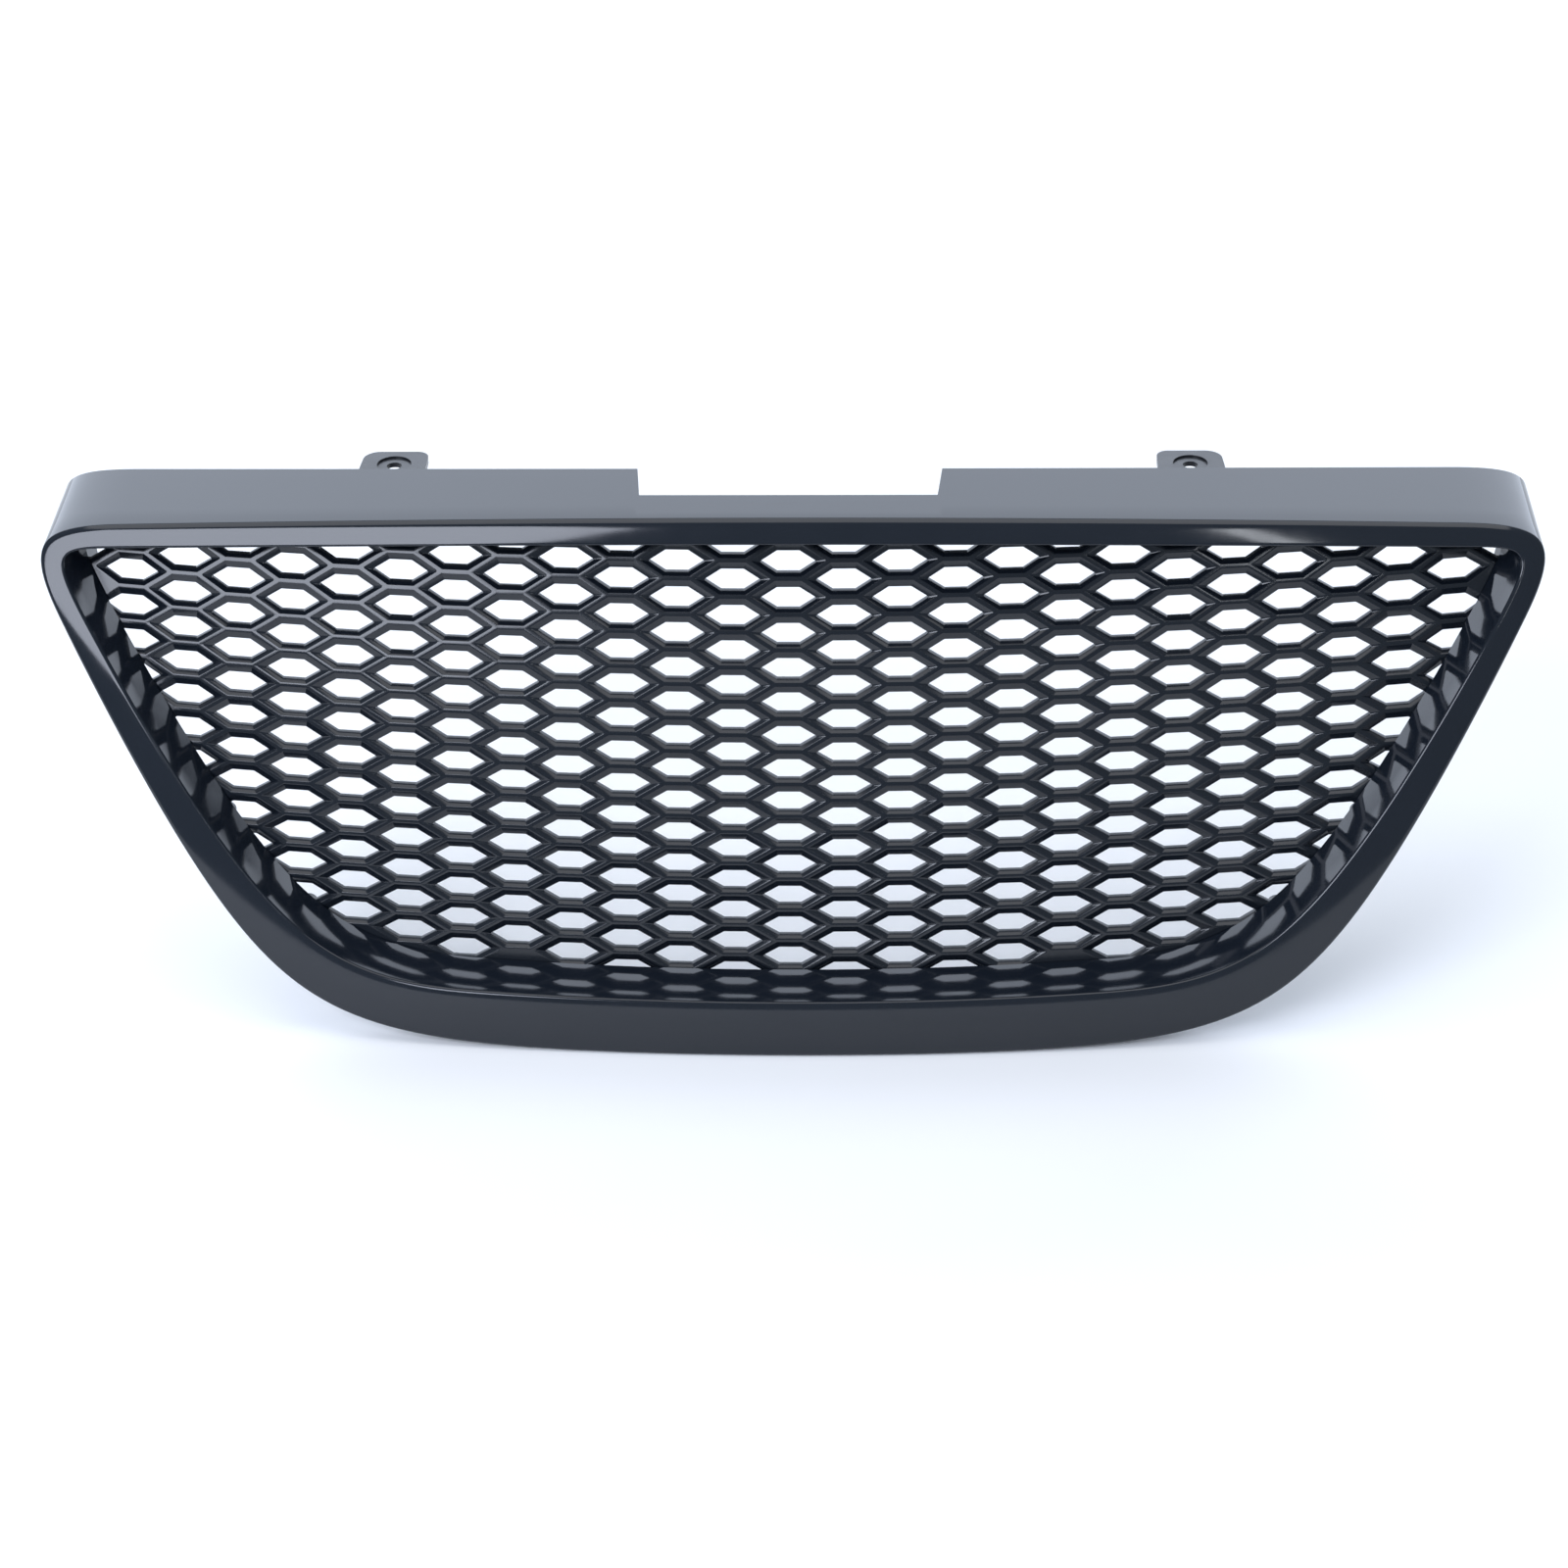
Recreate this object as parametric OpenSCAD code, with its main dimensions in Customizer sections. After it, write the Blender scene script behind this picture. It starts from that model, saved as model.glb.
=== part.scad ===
// Front grille: a gloss surround with a deep top flange, a honeycomb insert screwed in from
// behind, two top fixing brackets and two lower spring clips.
// X runs across the grille, -Y is the driver's view of its front and +Z is up. The outlines are
// drawn in X and Z on a sloping, crowned face, and the walls run straight back along Y.

/* [Grille face] */
// Radius of the face seen from above
plan_radius = 1730; // [1200:10:3000]
// Backward slope of the face at the reference row, as depth over height
face_lean = 0.345; // [0.1:0.005:0.5]
// Radius of the face seen from the side
profile_radius = 481; // [350:1:900]
// Extra backward sweep towards the top, in millimetres of depth at 100 mm of height
top_sweep = 3.2; // [0:0.1:5]

/* [Outer outline] */
// Height of the outline's top edge above the reference row
rim_top = 109.2; // [100:0.1:120]
// Depth of the outline's bottom edge below the reference row
rim_bottom = 129; // [120:0.1:140]
// Radius of the arched top edge
rim_top_radius = 3717; // [2500:1:9000]
// Radius of the nearly flat bottom edge
rim_bottom_radius = 10600; // [5000:100:30000]
// Where the top edge and the side would meet if the corner were sharp
rim_corner_x = 361.9; // [350:0.1:370]
// Where the side and the bottom edge would meet if the corner were sharp
rim_foot_x = 237.6; // [225:0.1:250]
// How far the upper corner's curve reaches along the top edge and along the side
rim_corner_reach = [50, 40.5];
// How far the lower corner's curve reaches along the side and along the bottom edge
rim_foot_reach = [149, 154];
// How fully the upper and the lower curve fill their corners, where 1 is the fullest
rim_fullness = [0.81, 0.94];

/* [Lip outline] */
// Height of the lip's top edge above the reference row
lip_top = 99; // [95:0.1:104]
// Depth of the lip's bottom edge below the reference row
lip_bottom = 102.7; // [95:0.1:110]
// Radius of the lip's top edge
lip_top_radius = 3937; // [2500:1:9000]
// Radius of the lip's bottom edge
lip_bottom_radius = 6150; // [4000:50:30000]
// Where the lip's top edge and side would meet if the corner were sharp
lip_corner_x = 345.8; // [340:0.1:348]
// Where the lip's side and bottom edge would meet if the corner were sharp
lip_foot_x = 229.9; // [225:0.1:235]
// How far the upper corner's curve reaches along the top edge and along the side
lip_corner_reach = [28.4, 35.7];
// How far the lower corner's curve reaches along the side and along the bottom edge
lip_foot_reach = [150, 83.5];
// How fully the upper and the lower curve fill their corners, where 1 is the fullest
lip_fullness = [0.93, 0.88];

/* [Surround section] */
// Wall thickness of the moulding
wall = 2.8; // [2:0.1:4]
// Depth from the rim's face back to the honeycomb's reference surface
rim_depth = 30; // [20:0.5:45]
// Radius between the rim's face and its outer wall
outer_round = 2.2; // [1:0.1:4]
// Radius between the rim's face and the inner wall
lip_round = 1.6; // [0.5:0.1:2.5]
// Crown of the rim's face, as a share of its width
face_crown = 0.05; // [0:0.01:0.15]
// Share by which the inner wall narrows across its depth
wall_narrowing = [0.017, 0.0125];
// Depth of the outer wall along the sides and the bottom
skirt_depth = 18; // [10:0.5:30]

/* [Top flange] */
// Depth position of the flange's rear edge on the centre line
flange_rear = 76.2; // [60:0.1:90]
// Radius of the flange's rear edge seen from above
flange_radius = 1850; // [1000:10:4000]
// Heights between which the side wall grows from skirt to flange
flange_runs_out = [15, 60];
// Depth of the notch in the flange's rear edge
notch_depth = 26.9; // [10:0.1:30]
// Half width of the notch at its floor
notch_floor = 69.2; // [40:0.1:90]
// Half width of the notch at the flange's rear edge
notch_mouth = 71.5; // [41:0.1:92]

/* [Honeycomb] */
// Distance between columns of cells
column_pitch = 25.9; // [20:0.1:35]
// Distance between cells in a column
row_pitch = 14.8; // [10:0.1:25]
// Width of the flat top and bottom of a cell, measured on the ridge between cells
cell_flat = 12.8; // [8:0.1:16]
// Width of an opening's flat top and bottom
opening_flat = 10.5; // [6:0.1:12]
// Width of an opening from corner to corner
opening_width = 27; // [20:0.1:32]
// Height of an opening
opening_height = 9.1; // [5:0.1:12]
// How far an opening's centre lies below its cell's centre
opening_drop = 1.2; // [0:0.1:2]
// Depth of the ridge in front of the reference surface
ridge_front = 3.1; // [2:0.1:5]
// Depth of the flared front of each opening
flare_depth = 1.5; // [0.5:0.1:3]
// Depth of the back of the bars behind the reference surface
bar_back = 1.6; // [1:0.1:4]
// How far outside the inner wall the centre of an open cell may lie
open_reach = 2.2; // [0:0.1:4]
// Width of the fixing rim outside the inner wall
rim_width = 11; // [8:0.1:14]

/* [Fasteners] */
// Radius of the insert screws' shanks
screw_radius = 1.5; // [1:0.05:2]
// Length of an insert screw under its head
screw_length = 16; // [10:0.5:20]
// Radius of an insert screw's head
screw_head_radius = 3.1; // [2.5:0.1:4]
// Radius of the bosses that the insert screws enter
boss_radius = 3.4; // [3:0.1:5]
// Distance of those bosses' centres outside the inner wall's rear edge
boss_offset = 6.6; // [5:0.1:10]
// Length of those bosses
boss_length = 9; // [7:0.5:14]
// Height of the raised seat under each screw's head
seat_height = 2.2; // [1:0.1:4]
// Width of the seat round the head
seat_margin = 1.2; // [0.5:0.1:2]

/* [Top brackets] */
// Distance between the two fixing holes
hole_spacing = 378; // [300:1:450]
// Radius of a fixing hole
hole_radius = 3.5; // [2.5:0.1:5]
// Radius of the shallow recess round a fixing hole
recess_radius = 8.2; // [6:0.1:10]
// Depth of that recess
recess_depth = 1; // [0.5:0.1:1.5]
// Thickness of a bracket
bracket_thickness = 3.5; // [2.5:0.1:5]
// Width of a bracket's tongue
bracket_width = 31; // [24:0.5:40]
// Distance from the flange's rear edge to the fixing hole
hole_overhang = 11.75; // [10:0.1:20]
// Distance from the fixing hole to the bracket's rear end
bracket_end = 13; // [9:0.1:18]
// Distance from the fixing hole to the bracket's front end
bracket_front = 52; // [40:1:60]
// Radii of the rear corners on the inner and the outer side
bracket_corners = [5.5, 8];
// How much wider the front end is on its outer side
bracket_taper = 4; // [0:0.5:8]
// Radius of the pegs that locate the bracket under the flange
peg_radius = 2.9; // [2:0.1:4]
// Radius of the screws in those pegs
peg_screw_radius = 1.25; // [1:0.05:1.5]
// Radius of those screws' washer heads
peg_head_radius = 4.6; // [3.5:0.1:6]

/* [Lower clips] */
// Distance of each lower tongue from the centre line
tongue_x = 133; // [80:1:150]
// Width of a lower tongue
tongue_width = 22; // [14:0.5:30]
// Distance that a lower tongue stands out behind the skirt
tongue_length = 16; // [10:0.5:24]
// Thickness of a lower tongue
tongue_thickness = 2.4; // [1.5:0.1:3]
// Height of a lower tongue above the skirt's bottom edge
tongue_lift = 2; // [1:0.1:4]
// Sheet thickness of a spring clip
clip_sheet = 0.8; // [0.5:0.1:1.2]
// Width of a clip, as a share of its tongue's
clip_share = 0.6; // [0.4:0.05:0.9]
// Length of a clip's lower and upper leaf, up to their turned-out ends
clip_leaf = [12, 11];

/* [Hidden] */
RIM = [rim_top, rim_bottom, rim_top_radius, rim_bottom_radius, rim_corner_x, rim_foot_x,
       rim_corner_reach, rim_foot_reach, rim_fullness];
LIP = [lip_top, lip_bottom, lip_top_radius, lip_bottom_radius, lip_corner_x, lip_foot_x,
       lip_corner_reach, lip_foot_reach, lip_fullness];
corner_steps = 9;
side_steps = 9;
foot_steps = 13;
bottom_steps = 3;
top_end = rim_corner_x - rim_corner_reach.x;
top_xs = concat([0, notch_floor / 3, notch_floor * 2 / 3, notch_floor], [for (k = [0 : 7])
         notch_mouth + (top_end - notch_mouth) * k / 7]);
GAP = 0.3;
THROUGH = 40;
WHOLE = 400;
THREAD_GAP = 0.05;
wall_back = -ridge_front - GAP;
GLOSS = [0.05, 0.055, 0.06];
SATIN = [0.12, 0.13, 0.145];
ZINC = [0.62, 0.63, 0.65];

// Depth of the crowned, leaning reference surface at a place on the face.
function face_y(p) = p.x * p.x / (2 * plan_radius) + face_lean * p.y
    + p.y * p.y / (2 * profile_radius) + top_sweep * pow(p.y / 100, 3);
function rim_y(p) = face_y(p) - rim_depth;
function unit(v) = v / norm(v);
function mix(a, b, t) = a + (b - a) * t;
function smooth(t) = let (u = min(1, max(0, t))) u * u * (3 - 2 * u);

// Half of an outline, from the middle of the top edge clockwise to the middle of the bottom.
function top_at(o, x) = [x, o[0] - x * x / (2 * o[2])];
function bottom_at(o, x) = [x, -o[1] + x * x / (2 * o[3])];
function meet(p, u, q, v) = let (d = q - p) p + u * (d.x * v.y - d.y * v.x) / (u.x * v.y - u.y * v.x);
function corner(a, sharp, b, full, t) = let (p = mix(a, sharp, full), q = mix(b, sharp, full))
    pow(1 - t, 3) * a + 3 * t * pow(1 - t, 2) * p + 3 * t * t * (1 - t) * q + t * t * t * b;
function half_outline(o) = let (
        sharp_top = top_at(o, o[4]), sharp_foot = bottom_at(o, o[5]),
        down = unit(sharp_foot - sharp_top),
        a = top_at(o, o[4] - o[6].x), b = sharp_top + down * o[6].y,
        c = sharp_foot - down * o[7].x, d = bottom_at(o, o[5] - o[7].y),
        upper = meet(a, [1, -a.x / o[2]], b, down), lower = meet(d, [1, d.x / o[3]], c, down))
    concat(
        [for (x = top_xs) top_at(o, x * a.x / top_end)],
        [for (k = [1 : corner_steps]) corner(a, upper, b, o[8].x, k / corner_steps)],
        [for (k = [1 : side_steps]) mix(b, c, k / side_steps)],
        [for (k = [1 : foot_steps]) corner(c, lower, d, o[8].y, k / foot_steps)],
        [for (k = [1 : bottom_steps]) bottom_at(o, d.x * (1 - k / bottom_steps))]);
function mirrored(half) = concat(half, [for (k = [len(half) - 2 : -1 : 1]) [-half[k].x, half[k].y]]);

// Each lip point is set square across from its rim point, and evenly round the upper corner.
function cross_2d(u, v) = u.x * v.y - u.y * v.x;
function hits(p, ray, path) = [for (k = [0 : len(path) - 2]) let (
        a = path[k], d = path[k + 1] - a, turn = cross_2d(ray, d), along = cross_2d(a - p, ray) / turn)
    if (along >= -1e-6 && along <= 1 + 1e-6) [cross_2d(a - p, d) / turn, k + along]];
function nearest(found) = let (best = min([for (h = found) h[0]]))
    [for (h = found) if (h[0] == best) h[1]][0];
function step(loop, k) = unit(loop[(k + 1) % len(loop)] - loop[(k + len(loop) - 1) % len(loop)]);
function along_path(path, t) = let (k = min(floor(t), len(path) - 2)) mix(path[k], path[k + 1], t - k);
rim_loop = mirrored(half_outline(RIM));
lip_path = half_outline(LIP);
corner_first = len(top_xs) - 1;
corner_last = corner_first + corner_steps;
across = [for (k = [0 : len(lip_path) - 1]) let (d = step(rim_loop, k))
    nearest(hits(rim_loop[k], [d.y, -d.x], lip_path))];
lip_loop = mirrored([for (k = [0 : len(lip_path) - 1]) along_path(lip_path,
    k <= corner_first || k >= corner_last ? across[k]
    : mix(across[corner_first], across[corner_last], (k - corner_first) / corner_steps))]);
inner_loop = [for (p = lip_loop) [p.x * (1 - wall_narrowing.x), p.y * (1 - wall_narrowing.y)]];
stations = len(rim_loop);

// Depth of the surround's rear edge at a station: deep flange on top, shallow skirt elsewhere.
function flange_share(p) = smooth((p.y - flange_runs_out.x) / (flange_runs_out.y - flange_runs_out.x));
function in_notch(p) = p.y > 0 && abs(p.x) < (notch_floor + notch_mouth) / 2;
function rear_y(p) = mix(rim_y(p) + skirt_depth, flange_rear + p.x * p.x / (2 * flange_radius)
    - (in_notch(p) ? notch_depth : 0), flange_share(p));

// A closed ring of sections, each with the same number of points, as one solid.
module ring(sections) {
    n = len(sections);
    m = len(sections[0]);
    polyhedron(
        points = [for (s = sections, p = s) p],
        faces = [for (i = [0 : n - 1], j = [0 : m - 1], half = [0, 1]) let (
            a = i * m + j, b = i * m + (j + 1) % m,
            c = (i + 1) % n * m + (j + 1) % m, d = (i + 1) % n * m + j)
            half == 0 ? [c, b, a] : [d, c, a]]);
}

// The surround's section at a station: outer wall, rounded face, lip, inner wall and back.
function section(k) = let (
        o = rim_loop[k], l = lip_loop[k], w = inner_loop[k],
        width = norm(l - o), inward = (l - o) / width, rear = rear_y(o),
        face = concat(
            [for (t = [0, 30, 60, 90]) [outer_round * (1 - cos(t)), outer_round * (1 - sin(t))]],
            [[width / 2, -face_crown * width]],
            [for (t = [0, 45, 90]) [width - lip_round * (1 - sin(t)), lip_round * (1 - cos(t))]]),
        w_back = w - inward * wall, l_back = l - inward * wall, o_back = o + inward * wall)
    concat(
        [[o.x, rear, o.y]],
        [for (f = face) let (p = o + inward * f.x) [p.x, rim_y(p) + f.y, p.y]],
        [[w.x, face_y(w) + wall_back, w.y], [w_back.x, face_y(w) + wall_back, w_back.y],
         [l_back.x, rim_y(l_back) + wall + 1, l_back.y], [o_back.x, rim_y(o_back) + wall + 1, o_back.y],
         [o_back.x, rear, o_back.y]]);

// The insert's edge: it laps behind the inner wall as far as the outer wall allows.
insert_loop = [for (k = [0 : stations - 1]) let (
        room_there = norm(inner_loop[k] - rim_loop[k]) - wall - 2 * GAP,
        outward = unit(rim_loop[k] - lip_loop[k]))
    inner_loop[k] + outward * min(rim_width, room_there)];

// Where the insert's screws stand: stations on one side, each mirrored to the other.
screw_stations = [21, 28, 31, 34, 39, 43];
screw_count = 2 * len(screw_stations);
function screw_place(n) = let (
        k = screw_stations[floor(n / 2)], w = inner_loop[k], side = n % 2 == 0 ? 1 : -1,
        outward = unit(rim_loop[k] - lip_loop[k]), p = w + outward * boss_offset)
    [side * p.x, p.y];

// Turns +Z to run straight back, and moves to a place on the face at a given depth.
module on_face(p, depth) {
    translate([p.x, face_y(p) + depth, p.y]) rotate([-90, 0, 0]) children();
}

// A mesh-only boundary, so that swept shapes are joined and cut as meshes.
module swept() {
    resize([0, 0, 0]) children();
}

module in_place() {
    translate([0, -datum_y, -datum_z]) children();
}

bracket_x = hole_spacing / 2;
flange_top = top_at(RIM, bracket_x).y;
under_flange = top_at(RIM, bracket_x + bracket_width / 2).y - wall;
datum_z = under_flange - recess_depth;
datum_y = flange_rear + bracket_x * bracket_x / (2 * flange_radius) + hole_overhang;
seat_depth = bar_back + seat_height;
seat_front = 2.3 - ridge_front;
boss_end = wall_back - 2;
peg_places = [[-9, -42], [9, -28]];
tongue_z = bottom_at(RIM, tongue_x).y + tongue_lift;
tongue_start = rim_y([tongue_x, tongue_z]) + 8;
tongue_back = rim_y([tongue_x, tongue_z]) + skirt_depth + tongue_length;

module surround() color(GLOSS) in_place() swept() difference() {
    union() {
        ring([for (k = [0 : stations - 1]) section(k)]);
        for (n = [0 : screw_count - 1]) on_face(screw_place(n), boss_end - boss_length)
            cylinder(r = boss_radius, h = boss_length, $fn = 24);
        for (side = [-1, 1], p = peg_places) translate([side * (bracket_x + p.x), datum_y + p.y, 0])
            translate([0, 0, under_flange - bracket_thickness])
                cylinder(r = peg_radius, h = bracket_thickness + wall, $fn = 24);
        for (side = [-1, 1]) translate([side * tongue_x - tongue_width / 2, tongue_start, tongue_z])
            cube([tongue_width, tongue_back - tongue_start, tongue_thickness]);
    }
    for (n = [0 : screw_count - 1]) on_face(screw_place(n), boss_end - boss_length + 1)
        cylinder(r = screw_radius + THREAD_GAP, h = boss_length, $fn = 24);
    for (side = [-1, 1], p = peg_places) translate([side * (bracket_x + p.x), datum_y + p.y, 0])
        translate([0, 0, under_flange - bracket_thickness - 1])
            cylinder(r = peg_screw_radius + THREAD_GAP, h = bracket_thickness + 2, $fn = 24);
}

// Honeycomb cells are numbered by column and by half rows: a cell has an odd column plus row.
half_columns = 15;
half_rows = 19;
opening = [[1, 0], [opening_flat / opening_width, 1], [-opening_flat / opening_width, 1],
           [-1, 0], [-opening_flat / opening_width, -1], [opening_flat / opening_width, -1]];
neighbours = [[1, 1], [0, 2], [-1, 1], [-1, -1], [0, -2], [1, -1]];
corner_x = column_pitch - cell_flat / 2;
per_cell = 16;
function is_place(c) = abs(c.x + c.y) % 2 == 1 && abs(c.x) < half_columns && abs(c.y) < half_rows;
function cell_centre(c) = [c.x * column_pitch, c.y * row_pitch / 2 + opening_drop];
function inside(p) = min([for (k = [0 : stations - 1])
    let (a = inner_loop[k], d = unit(inner_loop[(k + 1) % stations] - a)) cross_2d(p - a, d)]);
clearance = [for (i = [-half_columns : half_columns]) [for (m = [-half_rows : half_rows])
    is_place([i, m]) ? inside(cell_centre([i, m]) - [0, opening_drop]) : -1000]];
function room(c) = clearance[c.x + half_columns][c.y + half_rows];
function is_cell(c) = is_place(c) && room(c) > -rim_width - column_pitch / 2;
function is_open(c) = is_cell(c) && room(c) > -open_reach * (abs(cell_centre(c).x) > lip_foot_x ? 2 : 1);
function first_point(c) = per_cell * ((c.x + half_columns) * (2 * half_rows + 1) + c.y + half_rows);
function at_depth(p, depth) = [p.x, face_y(p) + depth, p.y];

// Each cell brings its two end points on the front and back ridge, then its opening's corners.
function cell_points(c) = let (
        centre = cell_centre(c), end = [corner_x, 0],
        hole = [for (q = opening) centre - [0, opening_drop]
                + [q.x * opening_width / 2, q.y * opening_height / 2]])
    concat(
        [for (side = [1, -1]) at_depth(centre + side * end, -ridge_front)],
        [for (side = [1, -1]) at_depth(centre + side * end, bar_back)],
        [for (p = hole) at_depth(p, flare_depth - ridge_front)], [for (p = hole) at_depth(p, bar_back)]);
// A cell's six ridge corners are its own ends and the facing ends of its neighbours.
function ridge(c) = [first_point(c), first_point(c + [1, 1]) + 1, first_point(c + [-1, 1]),
    first_point(c) + 1, first_point(c + [-1, -1]), first_point(c + [1, -1]) + 1];
function hole_front(c) = [for (j = [0 : 5]) first_point(c) + 4 + j];
function hole_back(c) = [for (j = [0 : 5]) first_point(c) + 10 + j];
function quad(a, b, c, d) = [[a, b, c], [a, c, d]];
function band(a, b) = [for (j = [0 : 5]) let (n = (j + 1) % 6) each quad(a[j], a[n], b[n], b[j])];
function fan(a, front) = [for (j = [1 : 4]) front ? [a[0], a[j], a[j + 1]] : [a[j + 1], a[j], a[0]]];
function bar_backs(c) = let (h = hole_back(c), r = [for (v = ridge(c)) v + 2])
    [for (j = [0 : 5]) let (n = (j + 1) % 6, other = c + neighbours[j], o = hole_back(other))
        if (!is_cell(other) || j < 3) each is_cell(other)
            ? quad(h[j], h[n], o[(j + 3) % 6], o[(j + 4) % 6]) : quad(h[j], h[n], r[n], r[j])];
function edge_walls(c) = let (r = ridge(c)) [for (j = [0 : 5]) let (n = (j + 1) % 6)
    if (!is_cell(c + neighbours[j])) each quad(r[n], r[j], r[j] + 2, r[n] + 2)];
// Where three cells meet, a triangle closes the back between their openings.
function joint_back(c, side) = let (
        cells = side > 0 ? [c, c + [1, 1], c + [1, -1]] : [c, c + [-1, -1], c + [-1, 1]],
        corners = side > 0 ? [0, 4, 2] : [3, 1, 5], shared = first_point(c) + (side > 0 ? 2 : 3),
        here = [for (k = cells) if (is_cell(k)) 1])
    len(here) < 2 ? [] : [[for (k = [0 : 2]) is_cell(cells[k]) ? hole_back(cells[k])[corners[k]] : shared]];
function cell_faces(c) = concat(
    is_open(c) ? concat(band(ridge(c), hole_front(c)), band(hole_front(c), hole_back(c)))
        : concat(fan(ridge(c), true), fan(hole_back(c), false)),
    bar_backs(c), edge_walls(c));
places = [for (i = [-half_columns : half_columns], m = [-half_rows : half_rows]) [i, m]];

module lattice() {
    polyhedron(
        points = [for (c = places) each cell_points(c)],
        faces = [for (c = places, f = concat(is_cell(c) ? cell_faces(c) : [],
            is_place(c) ? concat(joint_back(c, 1), joint_back(c, -1)) : [])) [f[2], f[1], f[0]]]);
}

module face_prism(loop) {
    rotate([90, 0, 0]) translate([0, 0, -WHOLE / 2]) linear_extrude(WHOLE) polygon(loop);
}

module honeycomb_insert() color(SATIN) in_place() swept() difference() {
    union() {
        intersection() {
            lattice();
            face_prism(insert_loop);
        }
        for (n = [0 : screw_count - 1]) on_face(screw_place(n), seat_front)
            cylinder(r = screw_head_radius + seat_margin, h = seat_depth - seat_front, $fn = 8);
    }
    for (n = [0 : screw_count - 1]) on_face(screw_place(n), -THROUGH / 2)
        cylinder(r = screw_radius + GAP, h = THROUGH, $fn = 8);
}

// A pan-head screw standing on its head's seat, with its shank along -Z.
module pan_screw(shank, head, length) {
    difference() {
        union() {
            translate([0, 0, -length]) cylinder(r = shank, h = length);
            cylinder(r = head, h = head * 0.35);
            translate([0, 0, head * 0.35]) intersection() {
                cylinder(r = head, h = head * 0.4);
                translate([0, 0, -head * 1.05]) sphere(r = head * 1.45);
            }
        }
        for (a = [0, 90]) rotate(a) translate([-head * 0.55, -head * 0.11, head * 0.3])
            cube([head * 1.1, head * 0.22, head]);
    }
}

module insert_screw(n) color(ZINC) in_place()
    on_face(screw_place(n), seat_depth) pan_screw(screw_radius, screw_head_radius, screw_length);

// A tapering tongue under the flange: its rear end is round at the corners.
module bracket_outline() {
    half = bracket_width / 2;
    inner = bracket_corners.x;
    outer = bracket_corners.y;
    hull() {
        translate([half - inner, bracket_end - inner]) circle(r = inner, $fn = 32);
        translate([-half + outer, bracket_end - outer]) circle(r = outer, $fn = 32);
        translate([-half - bracket_taper, -bracket_front]) square([bracket_width + bracket_taper, 1]);
    }
}

module top_bracket(side) color(GLOSS) mirror([side < 0 ? 0 : 1, 0, 0])
    translate([-bracket_x, 0, recess_depth]) difference() {
        translate([0, 0, -bracket_thickness]) linear_extrude(bracket_thickness) bracket_outline();
        translate([0, 0, -bracket_thickness - 1]) cylinder(r = hole_radius, h = bracket_thickness + 2);
        translate([0, 0, -recess_depth]) cylinder(r = recess_radius, h = recess_depth + 1);
        for (p = peg_places) translate([-p.x, p.y, -bracket_thickness - 1])
            cylinder(r = peg_radius + GAP / 2, h = bracket_thickness + 2);
    }

module bracket_screw(side, n) color(ZINC)
    translate([side * (bracket_x + peg_places[n].x), peg_places[n].y, recess_depth - bracket_thickness])
        rotate([180, 0, 0]) pan_screw(peg_screw_radius, peg_head_radius, bracket_thickness + 0.5);

// A spring-steel U clip that slides over a lower tongue from behind: its two leaves end in lips.
module lower_clip(side) color(ZINC) in_place() {
    low = tongue_z - clip_sheet;
    high = tongue_z + tongue_thickness;
    rear = -tongue_back;
    outline = [
        [rear - clip_sheet, low], [rear + clip_leaf.x, low], [rear + clip_leaf.x + 2, low - 1.5],
        [rear + clip_leaf.x + 2.5, low - 0.9], [rear + clip_leaf.x + 0.3, tongue_z], [rear, tongue_z],
        [rear, high], [rear + clip_leaf.y, high], [rear + clip_leaf.y + 3, high + 2.5],
        [rear + clip_leaf.y + 2.4, high + 3.1], [rear + clip_leaf.y - 0.4, high + clip_sheet],
        [rear - clip_sheet, high + clip_sheet]];
    translate([side * tongue_x + tongue_width * clip_share / 2, 0, 0]) rotate([90, 0, -90])
        linear_extrude(tongue_width * clip_share) polygon(outline);
}

two_digits = function (n) n < 9 ? str("0", n + 1) : str(n + 1);
surround();
honeycomb_insert();
top_bracket(-1);  // top_bracket_left
top_bracket(1);  // top_bracket_right
for (n = [0 : screw_count - 1])
    insert_screw(n);
for (n = [1, 2]) {
    bracket_screw(-1, n - 1);
    bracket_screw(1, n - 1);
}
lower_clip(-1);  // lower_clip_left
lower_clip(1);  // lower_clip_right
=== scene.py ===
"""Front grille: gloss surround, honeycomb insert, top brackets, screws and lower clips."""
import math

import bmesh
import bpy
from mathutils import Matrix, Vector


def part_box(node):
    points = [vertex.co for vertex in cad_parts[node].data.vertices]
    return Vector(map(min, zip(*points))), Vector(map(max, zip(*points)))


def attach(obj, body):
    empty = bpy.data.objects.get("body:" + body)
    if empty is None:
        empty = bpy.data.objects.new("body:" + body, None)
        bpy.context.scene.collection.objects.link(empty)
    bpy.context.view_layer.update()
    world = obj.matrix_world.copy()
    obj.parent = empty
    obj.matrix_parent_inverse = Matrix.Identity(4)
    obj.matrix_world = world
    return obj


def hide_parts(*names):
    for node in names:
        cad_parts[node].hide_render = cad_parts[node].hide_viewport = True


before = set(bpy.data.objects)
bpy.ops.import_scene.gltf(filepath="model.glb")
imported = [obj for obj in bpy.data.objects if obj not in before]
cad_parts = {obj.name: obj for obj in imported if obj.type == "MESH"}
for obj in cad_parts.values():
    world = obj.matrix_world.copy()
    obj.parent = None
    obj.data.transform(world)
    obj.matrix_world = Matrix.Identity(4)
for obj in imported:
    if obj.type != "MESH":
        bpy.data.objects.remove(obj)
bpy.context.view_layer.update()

MM = 0.001

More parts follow.
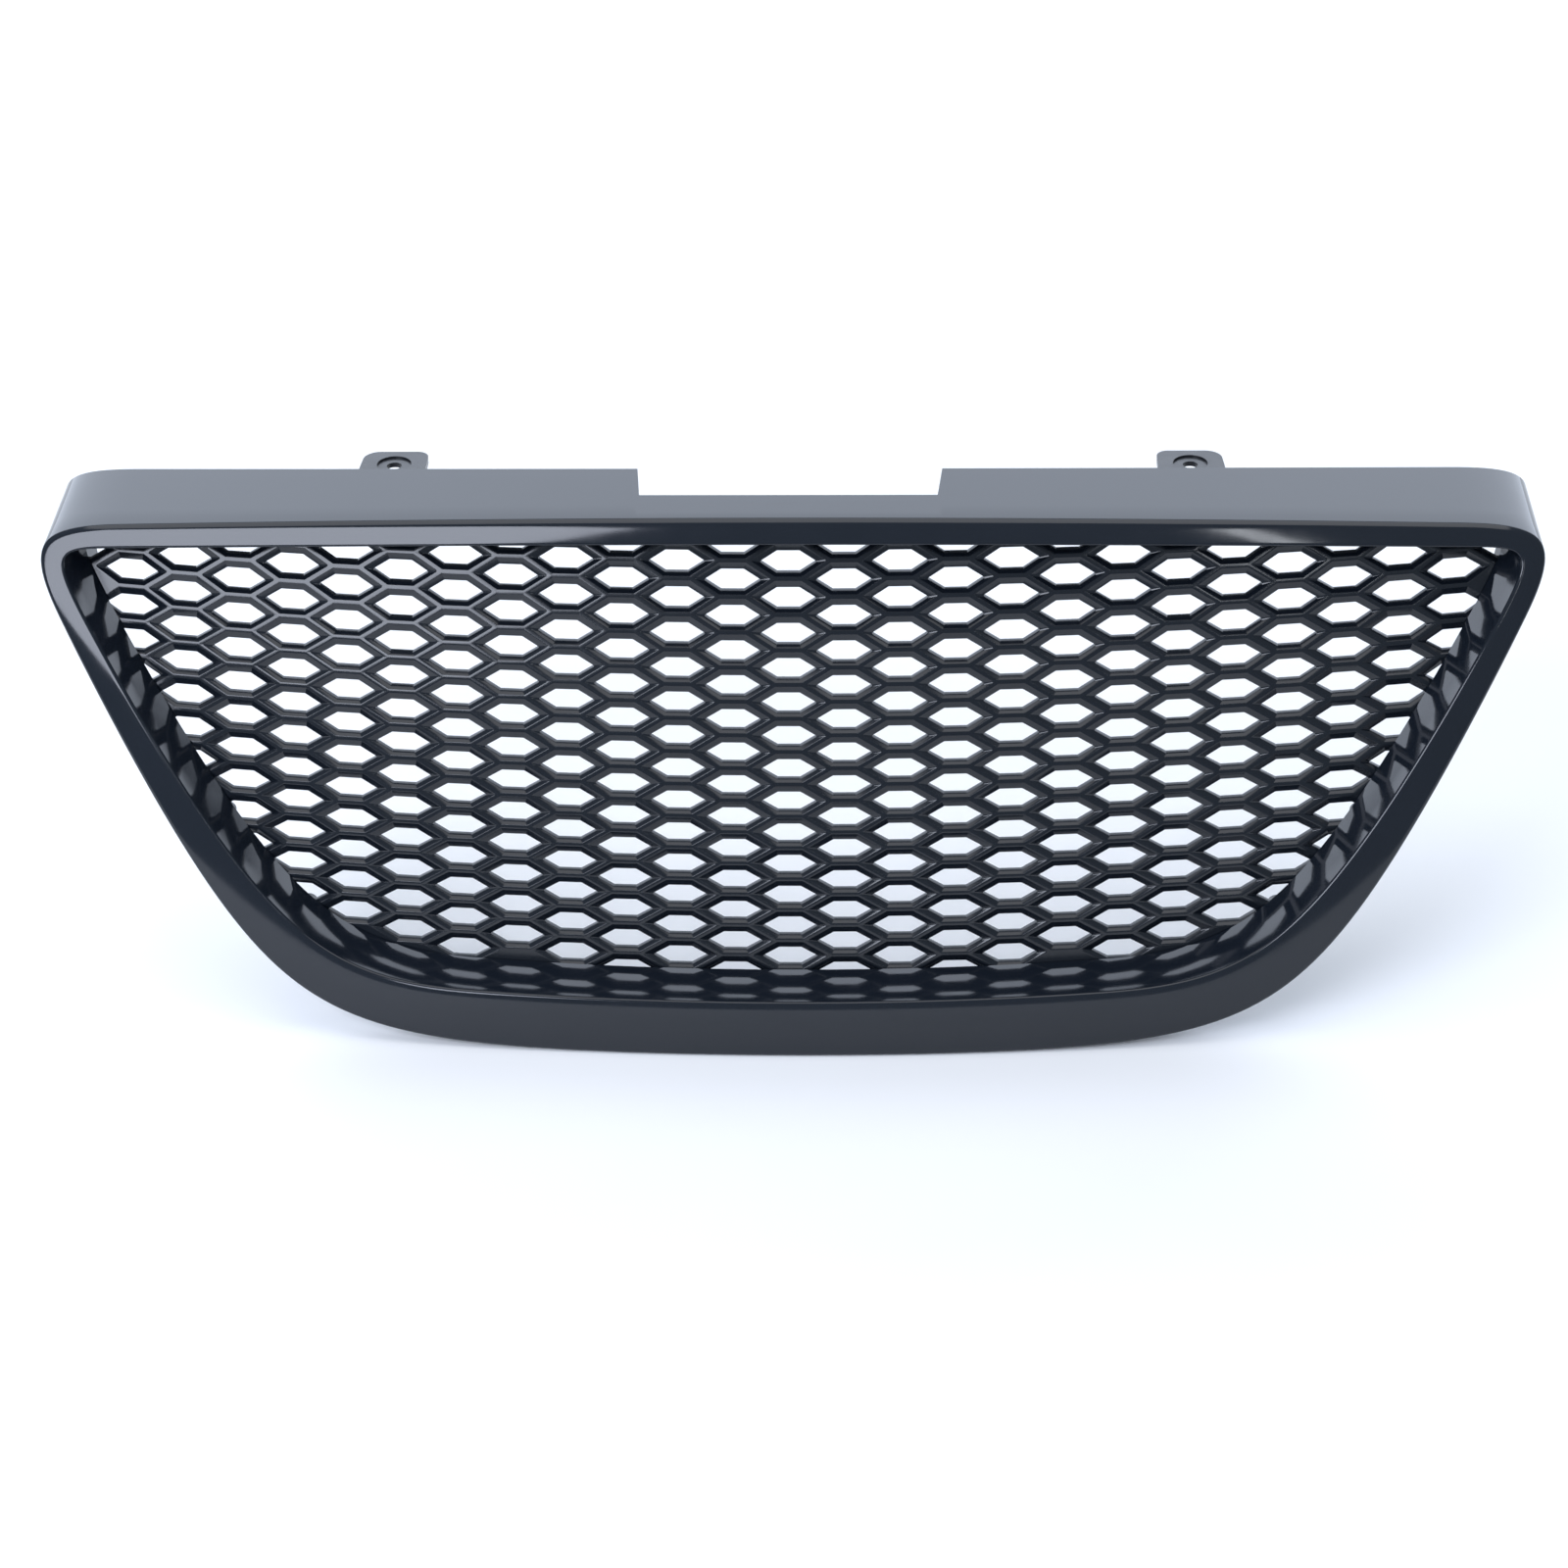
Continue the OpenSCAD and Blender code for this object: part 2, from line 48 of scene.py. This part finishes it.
# ---------------------------------------------------------------- shared dimensions, in millimetres
# The outlines are laid out from the honeycomb's reference row; the frame's origin is above and
# behind it, at the fixing holes.
SURROUND_LOW, SURROUND_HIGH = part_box("surround")
RIM_TOP, RIM_BOTTOM = 109.2, 129.0
WALL = 2.8
GAP = 0.3
DATUM_Z = RIM_TOP - SURROUND_HIGH.z / MM
FLANGE_REAR, FLANGE_RADIUS = 76.2, 1850.0
HOLE_X, HOLE_OVERHANG = 189.0, 11.75
DATUM_Y = FLANGE_REAR + HOLE_X ** 2 / (2 * FLANGE_RADIUS) + HOLE_OVERHANG
REFERENCE = Vector((0, -DATUM_Y, -DATUM_Z)) * MM

PLAN_RADIUS, PROFILE_RADIUS = 1730.0, 481.0
FACE_LEAN, TOP_SWEEP = 0.345, 3.2
RIM_DEPTH, SKIRT_DEPTH = 30.0, 18.0
EDGE = 0.5
OUTER_ROUND, LIP_ROUND, FACE_CROWN = 2.2, 1.6, 0.012
NARROWING = (0.017, 0.0125)
NOTCH_FLOOR, NOTCH_MOUTH, NOTCH_DEPTH = 69.2, 71.5, 26.9
FLANGE_RUNS_OUT = (15.0, 60.0)

# top and bottom height and radius, corner and foot x, their curves' reach and their fullness
RIM = dict(top=RIM_TOP, bottom=RIM_BOTTOM, top_r=3717.0, bottom_r=10600.0, corner=361.9,
           foot=237.6, corner_reach=(50.0, 40.5), foot_reach=(149.0, 154.0), full=(0.81, 0.94))
LIP = dict(top=99.0, bottom=102.7, top_r=3937.0, bottom_r=6150.0, corner=345.8,
           foot=229.9, corner_reach=(28.4, 35.7), foot_reach=(150.0, 83.5), full=(0.93, 0.88))

COLUMN, ROW = 25.9, 14.8
RIDGE_FLAT, OPENING_DROP = 12.8, 1.2
OPENING_FLAT, OPENING_WIDTH, OPENING_HEIGHT = 10.5, 27.0, 9.1
RIDGE_FRONT, FLARE_DEPTH, BAR_BACK = 3.1, 1.5, 1.6
INSERT_LAP = 11.0
HALF_COLUMNS, HALF_ROWS = 14, 17
# how far outside the inner wall an open cell's centre may lie: near the middle, and at the sides
OPEN_REACH, OPEN_REACH_SIDES = 3.0, 9.0

BRACKET_THICKNESS, RECESS = 3.5, 1.0
TONGUE_X, TONGUE_WIDTH, TONGUE_LENGTH = 133.0, 22.0, 16.0
TONGUE_THICKNESS, TONGUE_LIFT, TONGUE_START = 2.4, 2.0, 8.0
BOSS_LENGTH = 9.0
BOSS_START = -RIDGE_FRONT - GAP - 2 - BOSS_LENGTH
# bodies of revolution as (radius, height), each with a bore
BOSS_PROFILE = ((0.05, 0), (3.1, 0), (3.4, 0.3), (3.4, 8.7), (3.1, 9),
                (1.8, 9), (1.55, 8.75), (1.55, 1), (0.05, 1))
PEG_PROFILE = ((1.3, 0), (2.6, 0), (2.9, 0.3), (2.9, 5.5), (1.3, 5.5))
PAD_PROFILE = ((1.8, -0.8), (4.3, -0.8), (4.3, 3.5), (4.0, 3.8), (2.1, 3.8), (1.8, 3.5))


def V2(x, z):
    return Vector((x, z))


def face_y(p):
    """Depth of the crowned, leaning reference surface."""
    x, z = p
    return (x * x / (2 * PLAN_RADIUS) + FACE_LEAN * z + z * z / (2 * PROFILE_RADIUS)
            + TOP_SWEEP * (z / 100) ** 3)


def placed(x, y, z):
    """Layout millimetres to the frame's metres."""
    return Vector((x, y, z)) * MM + REFERENCE


def on_face(p, depth):
    return placed(p[0], face_y(p) + depth, p[1])


# ---------------------------------------------------------------- outlines
def top_at(o, x):
    return V2(x, o["top"] - x * x / (2 * o["top_r"]))


def bottom_at(o, x):
    return V2(x, -o["bottom"] + x * x / (2 * o["bottom_r"]))


def cross(u, v):
    return u.x * v.y - u.y * v.x


def meet(p, u, q, v):
    return p + u * (cross(q - p, v) / cross(u, v))


def corner_curve(a, sharp, b, full, t):
    p, q = a.lerp(sharp, full), b.lerp(sharp, full)
    return (1 - t) ** 3 * a + 3 * t * (1 - t) ** 2 * p + 3 * t * t * (1 - t) * q + t ** 3 * b


def half_outline(o, top_xs, corner_n=24, side_n=16, foot_n=40, bottom_n=14):
    """Middle of the top edge, clockwise, to the middle of the bottom edge."""
    sharp_top, sharp_foot = top_at(o, o["corner"]), bottom_at(o, o["foot"])
    down = (sharp_foot - sharp_top).normalized()
    a, b = top_at(o, o["corner"] - o["corner_reach"][0]), sharp_top + down * o["corner_reach"][1]
    c, d = sharp_foot - down * o["foot_reach"][0], bottom_at(o, o["foot"] - o["foot_reach"][1])
    upper = meet(a, V2(1, -a.x / o["top_r"]), b, down)
    lower = meet(d, V2(1, d.x / o["bottom_r"]), c, down)
    points = [top_at(o, x * a.x / top_xs[-1]) for x in top_xs]
    points += [corner_curve(a, upper, b, o["full"][0], k / corner_n) for k in range(1, corner_n + 1)]
    points += [b.lerp(c, k / side_n) for k in range(1, side_n + 1)]
    points += [corner_curve(c, lower, d, o["full"][1], k / foot_n) for k in range(1, foot_n + 1)]
    points += [bottom_at(o, d.x * (1 - k / bottom_n)) for k in range(1, bottom_n + 1)]
    return points


def mirrored(half):
    return half + [V2(-p.x, p.y) for p in reversed(half[1:-1])]


def step_along(loop, k):
    return (loop[(k + 1) % len(loop)] - loop[k - 1]).normalized()


def hit(p, ray, path):
    """Where a ray first meets a path, as a point number and a fraction."""
    found = []
    for k, (a, b) in enumerate(zip(path, path[1:])):
        turn = cross(ray, b - a)
        along = cross(a - p, ray) / turn if turn else -1
        if -1e-6 <= along <= 1 + 1e-6:
            found.append((cross(a - p, b - a) / turn, k + along))
    return min(found)[1]


def along_path(path, t):
    k = min(int(t), len(path) - 2)
    return path[k].lerp(path[k + 1], t - k)


END_TOP = RIM["corner"] - RIM["corner_reach"][0]
NOTCH_XS = [NOTCH_FLOOR * k / 8 for k in range(9)]
TOP_XS = NOTCH_XS + [NOTCH_MOUTH + (END_TOP - NOTCH_MOUTH) * k / 24 for k in range(25)]
CORNER_N = 24
rim_half = half_outline(RIM, TOP_XS)
rim_loop = mirrored(rim_half)
lip_path = half_outline(LIP, TOP_XS)
across = []
for k in range(len(rim_half)):
    d = step_along(rim_loop, k)
    across.append(hit(rim_loop[k], V2(d.y, -d.x), lip_path))
first, last = len(TOP_XS) - 1, len(TOP_XS) - 1 + CORNER_N
for k in range(first + 1, last):
    across[k] = across[first] + (across[last] - across[first]) * (k - first) / CORNER_N
lip_loop = mirrored([along_path(lip_path, t) for t in across])
inner_loop = [V2(p.x * (1 - NARROWING[0]), p.y * (1 - NARROWING[1])) for p in lip_loop]
N = len(rim_loop)


def smooth(t):
    t = min(1.0, max(0.0, t))
    return t * t * (3 - 2 * t)


def rear_y(p):
    """Depth of the rear edge: deep flange above, shallow skirt along the sides and bottom."""
    low, high = FLANGE_RUNS_OUT
    share = smooth((p.y - low) / (high - low))
    in_notch = p.y > 0 and abs(p.x) < (NOTCH_FLOOR + NOTCH_MOUTH) / 2
    flange = FLANGE_REAR + p.x ** 2 / (2 * FLANGE_RADIUS) - (NOTCH_DEPTH if in_notch else 0)
    return (face_y(p) - RIM_DEPTH + SKIRT_DEPTH) * (1 - share) + flange * share


# ---------------------------------------------------------------- mesh helpers
def new_object(name, bm, material, sharp=32):
    bmesh.ops.recalc_face_normals(bm, faces=bm.faces)
    mesh = bpy.data.meshes.new(name)
    bm.to_mesh(mesh)
    bm.free()
    mesh.shade_smooth()
    mesh.set_sharp_from_angle(angle=math.radians(sharp))
    obj = bpy.data.objects.new(name, mesh)
    bpy.context.scene.collection.objects.link(obj)
    mesh.materials.append(material)
    return obj


def add_ring(bm, sections, closed=True):
    """A closed ring of sections with equal numbers of points."""
    rows = [[bm.verts.new(p) for p in s] for s in sections]
    count, m = len(rows), len(rows[0])
    for i in range(count if closed else count - 1):
        here, there = rows[i], rows[(i + 1) % count]
        for j in range(m):
            n = (j + 1) % m
            bm.faces.new((here[j], here[n], there[n], there[j]))


def add_lathe(bm, profile, origin, axis, segments=40):
    """A body of revolution: profile is (radius, height) pairs, closed on itself."""
    turn = Vector((0, 0, 1)).rotation_difference(Vector(axis)).to_matrix()
    origin = Vector(origin)
    sections = []
    for k in range(segments):
        a = 2 * math.pi * k / segments
        sections.append([origin + turn @ Vector((r * math.cos(a), r * math.sin(a), h)) * MM
                         for r, h in profile])
    add_ring(bm, sections)


# ---------------------------------------------------------------- materials
def shader_of(material):
    material.use_nodes = True
    return material.node_tree, material.node_tree.nodes["Principled BSDF"]


def noise(tree, scale, detail=4.0, roughness=0.55):
    node = tree.nodes.new("ShaderNodeTexNoise")
    coords = tree.nodes.new("ShaderNodeTexCoord")
    tree.links.new(coords.outputs["Object"], node.inputs["Vector"])
    node.inputs["Scale"].default_value = scale
    node.inputs["Detail"].default_value = detail
    node.inputs["Roughness"].default_value = roughness
    return node.outputs["Fac"]


def ranged(tree, value, low, high, from_low=0.3, from_high=0.7):
    node = tree.nodes.new("ShaderNodeMapRange")
    tree.links.new(value, node.inputs["Value"])
    values = (("From Min", from_low), ("From Max", from_high), ("To Min", low), ("To Max", high))
    for name, number in values:
        node.inputs[name].default_value = number
    return node.outputs["Result"]


def mixed(tree, factor, a, b):
    node = tree.nodes.new("ShaderNodeMix")
    node.data_type = "RGBA"
    tree.links.new(factor, node.inputs["Factor"])
    node.inputs["A"].default_value = (*a, 1)
    node.inputs["B"].default_value = (*b, 1)
    return node.outputs["Result"]


def bump(tree, height, strength, distance, under=None):
    node = tree.nodes.new("ShaderNodeBump")
    node.inputs["Strength"].default_value = strength
    node.inputs["Distance"].default_value = distance
    tree.links.new(height, node.inputs["Height"])
    if under:
        tree.links.new(under, node.inputs["Normal"])
    return node.outputs["Normal"]


def moulded_plastic(name, dark, light, rough, ripple, grain):
    """Painted or moulded plastic: faint colour drift, uneven sheen, long ripple and fine grain."""
    material = bpy.data.materials.new(name)
    tree, shader = shader_of(material)
    tree.links.new(mixed(tree, noise(tree, 26, 5), dark, light), shader.inputs["Base Color"])
    tree.links.new(ranged(tree, noise(tree, 60, 6), *rough), shader.inputs["Roughness"])
    long_wave = bump(tree, noise(tree, 45, 2), 1.0, ripple)
    tree.links.new(bump(tree, noise(tree, 2200, 2), 1.0, grain, long_wave), shader.inputs["Normal"])
    shader.inputs["IOR"].default_value = 1.5
    return material


def plated_steel(name, dark, light, rough):
    """Plated or phosphated steel: cloudy colour, uneven sheen and fine pitting."""
    material = bpy.data.materials.new(name)
    tree, shader = shader_of(material)
    tree.links.new(mixed(tree, noise(tree, 420, 6), dark, light), shader.inputs["Base Color"])
    tree.links.new(ranged(tree, noise(tree, 900, 4), *rough), shader.inputs["Roughness"])
    tree.links.new(bump(tree, noise(tree, 3000, 3), 0.6, 0.00002), shader.inputs["Normal"])
    shader.inputs["Metallic"].default_value = 1.0
    return material


GLOSS = moulded_plastic("gloss_black", (0.006, 0.009, 0.014), (0.009, 0.012, 0.018),
                        rough=(0.07, 0.11), ripple=0.00002, grain=0.0000003)
MESH = moulded_plastic("mesh_black", (0.005, 0.007, 0.011), (0.008, 0.011, 0.016),
                       rough=(0.12, 0.18), ripple=0.00001, grain=0.0000006)
BRACKET = moulded_plastic("bracket_black", (0.011, 0.012, 0.015), (0.018, 0.02, 0.024),
                          rough=(0.24, 0.36), ripple=0.00003, grain=0.000004)
ZINC = plated_steel("zinc", (0.5, 0.5, 0.49), (0.68, 0.68, 0.67), (0.26, 0.42))
SPRING = plated_steel("spring_steel", (0.09, 0.09, 0.095), (0.17, 0.17, 0.18), (0.32, 0.5))


# ---------------------------------------------------------------- surround
def face_profile(width):
    """The rim from its outer wall round to its inner wall, as (inward, back) pairs."""
    points = []
    for k in range(9):
        a = math.radians(90 * k / 8)
        points.append((OUTER_ROUND * (1 - math.cos(a)), OUTER_ROUND * (1 - math.sin(a))))
    start, end = OUTER_ROUND, width - LIP_ROUND
    for k in range(1, 10):
        t = k / 10
        points.append((start + (end - start) * t, -FACE_CROWN * width * 4 * t * (1 - t)))
    for k in range(7):
        a = math.radians(90 * k / 6)
        points.append((width - LIP_ROUND * (1 - math.sin(a)), LIP_ROUND * (1 - math.cos(a))))
    return points


def surround_section(k):
    """Outer wall, rim, lip, inner wall and back at one station, as a closed row of points."""
    o, l, w = rim_loop[k], lip_loop[k], inner_loop[k]
    width = (l - o).length
    inward = (l - o) / width
    rear = rear_y(o)

    def at(p, y):
        return placed(p.x, y, p.y)

    o_back, l_back, w_back = o + inward * WALL, l - inward * WALL, w - inward * WALL
    wall_back = face_y(w) - RIDGE_FRONT - GAP
    front_y = face_y(o) - RIM_DEPTH
    rows = [at(o + inward * EDGE, rear), at(o, rear - EDGE)]
    rows += [at(o, rear + (front_y + OUTER_ROUND - rear) * t) for t in (0.25, 0.5, 0.75)]
    for across_mm, back in face_profile(width):
        p = o + inward * across_mm
        rows.append(at(p, face_y(p) - RIM_DEPTH + back))
    lip_y = face_y(l) - RIM_DEPTH + LIP_ROUND
    rows += [at(l.lerp(w, t), lip_y + (wall_back - EDGE - lip_y) * t) for t in (0.33, 0.67, 1.0)]
    rows += [at(w - inward * EDGE, wall_back), at(w_back + inward * EDGE, wall_back)]
    rows += [at(w_back, wall_back - EDGE)]
    rows += [at(p, face_y(p) - RIM_DEPTH + WALL + 1) for p in (l_back, o_back)]
    rows += [at(o_back, rear - EDGE), at(o_back - inward * EDGE, rear)]
    return rows


def add_box(bm, low, high, bevel):
    """A box between two corners, with softened edges."""
    made = bmesh.ops.create_cube(bm, size=1.0)["verts"]
    for v in made:
        v.co = Vector([a + (b - a) * (c + 0.5) for a, b, c in zip(low, high, v.co)])
    edges = list({e for v in made for e in v.link_edges})
    bmesh.ops.bevel(bm, geom=edges, offset=bevel, segments=2, affect="EDGES")


def screw_places():
    """The insert screws' places on the face, read off the frame."""
    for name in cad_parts:
        if name.startswith("insert_screw"):
            middle = (sum(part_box(name), Vector()) / 2 - REFERENCE) / MM
            yield V2(middle.x, middle.z)


def make_surround():
    """The moulding with its screw bosses, the brackets' pegs and the lower tongues."""
    bm = bmesh.new()
    add_ring(bm, [surround_section(k) for k in range(N)])
    for p in screw_places():
        add_lathe(bm, BOSS_PROFILE, on_face(p, BOSS_START), (0, 1, 0))
    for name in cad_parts:
        if name.startswith("bracket_screw"):
            low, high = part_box(name)
            foot = Vector(((low.x + high.x) / 2, (low.y + high.y) / 2, (RECESS - BRACKET_THICKNESS) * MM))
            add_lathe(bm, PEG_PROFILE, foot, (0, 0, 1))
    for side in (-1, 1):
        z = bottom_at(RIM, TONGUE_X).y + TONGUE_LIFT
        y = face_y((TONGUE_X, z)) - RIM_DEPTH
        left, right = side * TONGUE_X - TONGUE_WIDTH / 2, side * TONGUE_X + TONGUE_WIDTH / 2
        add_box(bm, placed(left, y + TONGUE_START, z),
                placed(right, y + SKIRT_DEPTH + TONGUE_LENGTH, z + TONGUE_THICKNESS), 0.4 * MM)
    return new_object("surround_shell", bm, GLOSS)


# ---------------------------------------------------------------- honeycomb
def hexagon(centre, half_width, half_flat, half_height):
    signs = ((1, 0), (half_flat / half_width, 1), (-half_flat / half_width, 1),
             (-1, 0), (-half_flat / half_width, -1), (half_flat / half_width, -1))
    return [centre + V2(x * half_width, z * half_height) for x, z in signs]


def grown(points, amount):
    """A convex polygon with each side moved out, or in where amount is negative."""
    n = len(points)
    sides = []
    for j in range(n):
        d = (points[(j + 1) % n] - points[j]).normalized()
        sides.append((points[j] + V2(d.y, -d.x) * amount, d))
    return [meet(sides[j - 1][0], sides[j - 1][1], sides[j][0], sides[j][1]) for j in range(n)]


def rounded(points, radii, counts):
    """Rounds each corner of a convex polygon; returns one list of points per corner."""
    corners, n = [], len(points)
    for j, (p, r, count) in enumerate(zip(points, radii, counts)):
        before, after = (points[j - 1] - p).normalized(), (points[(j + 1) % n] - p).normalized()
        half = before.angle(after) / 2
        centre = p + (before + after).normalized() * (r / math.sin(half))
        start, end = p + before * (r / math.tan(half)), p + after * (r / math.tan(half))
        a0 = math.atan2(start.y - centre.y, start.x - centre.x)
        a1 = math.atan2(end.y - centre.y, end.x - centre.x)
        turn = (a1 - a0 + math.pi) % (2 * math.pi) - math.pi
        angles = [a0 + turn * i / (count - 1) for i in range(count)]
        corners.append([centre + V2(math.cos(a), math.sin(a)) * r for a in angles])
    return corners


# points round each of a cell's corners, and their radii on the ridge and in the opening
COUNTS = (7, 4, 4, 7, 4, 4)
RIDGE_RADII = (0.5, 0.4, 0.4, 0.5, 0.4, 0.4)
HOLE_RADII = (0.6, 0.5, 0.5, 0.6, 0.5, 0.5)


def cell_rings(centre):
    """The cell's ridge, and its rounded rings from the ridge's foot through the opening to the back."""
    ridge = hexagon(centre, COLUMN - RIDGE_FLAT / 2, RIDGE_FLAT / 2, ROW / 2)
    hole = hexagon(centre - V2(0, OPENING_DROP), OPENING_WIDTH / 2, OPENING_FLAT / 2, OPENING_HEIGHT / 2)
    rings = []
    for inset, depth in ((0.78, 0), (0.86, 0.02), (0.96, 0.09)):
        rings.append((rounded(grown(ridge, -inset), RIDGE_RADII, COUNTS), depth - RIDGE_FRONT))
    for out, depth in ((0.22, -0.14), (0.08, 0.0), (0.0, 0.16)):
        rings.append((rounded(grown(hole, out), [r + out for r in HOLE_RADII], COUNTS),
                      FLARE_DEPTH - RIDGE_FRONT + depth))
    bevel = 0.25
    rings.append((rounded(hole, HOLE_RADII, COUNTS), BAR_BACK - bevel))
    rings.append((rounded(grown(hole, bevel), [r + bevel for r in HOLE_RADII], COUNTS), BAR_BACK))
    return ridge, rings


def distance_inside(loop, p):
    """How far a point lies inside a convex loop; it is negative outside."""
    n = len(loop)
    return min(cross(p - loop[k], (loop[(k + 1) % n] - loop[k]).normalized()) for k in range(0, n, 2))


def insert_outlines():
    """The lap behind the inner wall, and the outer wall that it has to clear: both are convex."""
    lap, clear = [], []
    for k in range(N):
        outward = (rim_loop[k] - lip_loop[k]).normalized()
        lap.append(inner_loop[k] + outward * INSERT_LAP)
        clear.append(rim_loop[k] - outward * (WALL + 2 * GAP))
    return lap, clear


def add_cell(bm, corner_verts, centre, is_open):
    """A cell with an opening, or a filled one; neighbours share the corners on their ridge."""
    ridge, rings = cell_rings(centre)

    def corner_vert(p, depth):
        key = (round(p.x, 2), round(p.y, 2), depth)
        if key not in corner_verts:
            corner_verts[key] = bm.verts.new(on_face(p, depth))
        return corner_verts[key]

    front = [corner_vert(p, -RIDGE_FRONT) for p in ridge]
    back = [corner_vert(p, BAR_BACK) for p in ridge]
    if not is_open:
        bm.faces.new(front)
        bm.faces.new(list(reversed(back)))
        return
    rows = [[[bm.verts.new(on_face(p, depth)) for p in corner] for corner in corners]
            for corners, depth in rings]

    def fan(hexagon_verts, row):
        for j in range(6):
            n = (j + 1) % 6
            bm.faces.new((hexagon_verts[j], hexagon_verts[n], row[n][0], row[j][-1]))
            for a, b in zip(row[j], row[j][1:]):
                bm.faces.new((hexagon_verts[j], b, a))

    fan(front, rows[0])
    fan(back, rows[-1])
    for upper, lower in zip(rows, rows[1:]):
        u, l = sum(upper, []), sum(lower, [])
        for j in range(len(u)):
            n = (j + 1) % len(u)
            bm.faces.new((u[j], u[n], l[n], l[j]))


def make_honeycomb():
    """Every cell within the inner wall or just outside it, trimmed to the insert's outlines."""
    bm, corner_verts = bmesh.new(), {}
    for i in range(-HALF_COLUMNS, HALF_COLUMNS + 1):
        for m in range(-HALF_ROWS, HALF_ROWS + 1):
            if (i + m) % 2 == 0:
                continue
            centre = V2(i * COLUMN, m * ROW / 2 + OPENING_DROP)
            inside = distance_inside(inner_loop, centre - V2(0, OPENING_DROP))
            if inside > -INSERT_LAP - COLUMN / 2:
                reach = OPEN_REACH_SIDES if abs(centre.x) > LIP["foot"] else OPEN_REACH
                add_cell(bm, corner_verts, centre, inside > -reach)
    for outline in insert_outlines():
        for k in range(0, N, 3):
            a, d = outline[k], step_along(outline, k)
            geometry = bm.verts[:] + bm.edges[:] + bm.faces[:]
            bmesh.ops.bisect_plane(bm, geom=geometry, dist=1e-7, plane_co=placed(a.x, 0, a.y),
                                   plane_no=Vector((-d.y, 0, d.x)), clear_outer=True)
    for p in screw_places():
        add_lathe(bm, PAD_PROFILE, on_face(p, 0), (0, 1, 0), 32)
    return new_object("honeycomb_mesh", bm, MESH, 26)


# ---------------------------------------------------------------- build
surround = make_surround()
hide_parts("surround")
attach(surround, "root")

honeycomb = make_honeycomb()
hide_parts("honeycomb_insert")
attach(honeycomb, "root")

for name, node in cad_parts.items():
    if name in ("surround", "honeycomb_insert"):
        continue
    finish = BRACKET if "top_bracket" in name else SPRING if "clip" in name else ZINC
    node.data.materials.clear()
    node.data.materials.append(finish)


# ---------------------------------------------------------------- floor, light and camera
def make_floor():
    """A plain pale floor under the surround's lowest point."""
    material = bpy.data.materials.new("studio_floor")
    tree, shader = shader_of(material)
    colour = mixed(tree, noise(tree, 8, 3), (0.9, 0.9, 0.9), (0.93, 0.93, 0.93))
    tree.links.new(colour, shader.inputs["Base Color"])
    shader.inputs["Roughness"].default_value = 0.6
    bm = bmesh.new()
    corners = [(-4, -0.75), (4, -0.75), (4, 7), (-4, 7)]
    bm.faces.new([bm.verts.new((x, y, SURROUND_LOW.z)) for x, y in corners])
    floor = new_object("studio_floor", bm, material)


def area_light(name, position, target, size, radiance, colour=(1, 1, 1)):
    """A rectangular lamp with a given brightness of its own surface."""
    data = bpy.data.lights.new(name, "AREA")
    data.shape = "RECTANGLE"
    data.size, data.size_y = size
    data.energy = radiance * size[0] * size[1] * math.pi
    data.color = colour
    lamp = bpy.data.objects.new(name, data)
    lamp.location = position
    lamp.rotation_mode = "QUATERNION"
    lamp.rotation_quaternion = (Vector(target) - Vector(position)).to_track_quat("-Z", "Y")
    bpy.context.scene.collection.objects.link(lamp)


def make_world(colour, strength):
    world = bpy.data.worlds.new("studio")
    world.use_nodes = True
    background = world.node_tree.nodes["Background"]
    background.inputs["Color"].default_value = (*colour, 1)
    background.inputs["Strength"].default_value = strength
    bpy.context.scene.world = world


def make_camera():
    """A 92 mm lens 1.86 m away and 31 degrees up, standing a little to the right of the middle."""
    yaw, elevation, roll, distance = -0.035, 0.54105, -0.0174, 1.8648
    right = Vector((math.cos(yaw), -math.sin(yaw), 0))
    ahead = Vector((math.sin(yaw) * math.cos(elevation), math.cos(yaw) * math.cos(elevation),
                    -math.sin(elevation)))
    up = right.cross(ahead)
    across_view = right * math.cos(roll) + up * math.sin(roll)
    up_view = up * math.cos(roll) - right * math.sin(roll)
    data = bpy.data.cameras.new("camera")
    data.lens, data.sensor_width = 91.76, 36.0
    data.shift_x, data.shift_y = -0.0031, -0.0208
    data.clip_start, data.clip_end = 0.05, 60.0
    camera = bpy.data.objects.new("camera", data)
    camera.matrix_world = Matrix.Translation(REFERENCE - ahead * distance) @ Matrix(
        (across_view, up_view, -ahead)).transposed().to_4x4()
    bpy.context.scene.collection.objects.link(camera)
    bpy.context.scene.camera = camera


make_floor()
make_world((0.72, 0.84, 1.0), 0.4)
area_light("back_wall", (0, 2.7, 1.3), (0, 0, 1.3), (5.6, 3.1), 2.3, (0.8, 0.87, 1.0))
area_light("overhead", (0, 0.4, 2.6), (0, 0.4, 0), (3.6, 2.6), 1.6, (0.98, 0.98, 1.0))
area_light("front_left", (-0.97, -1.46, 0.96), (0, -0.07, -0.1), (1.1, 1.1), 8.2, (0.82, 0.87, 1.0))
area_light("front_right", (0.77, -1.52, 1.05), (0.2, -0.07, -0.1), (0.07, 0.5), 9.0, (0.9, 0.94, 1.0))
make_camera()
scene = bpy.context.scene
scene.view_settings.view_transform = "Standard"
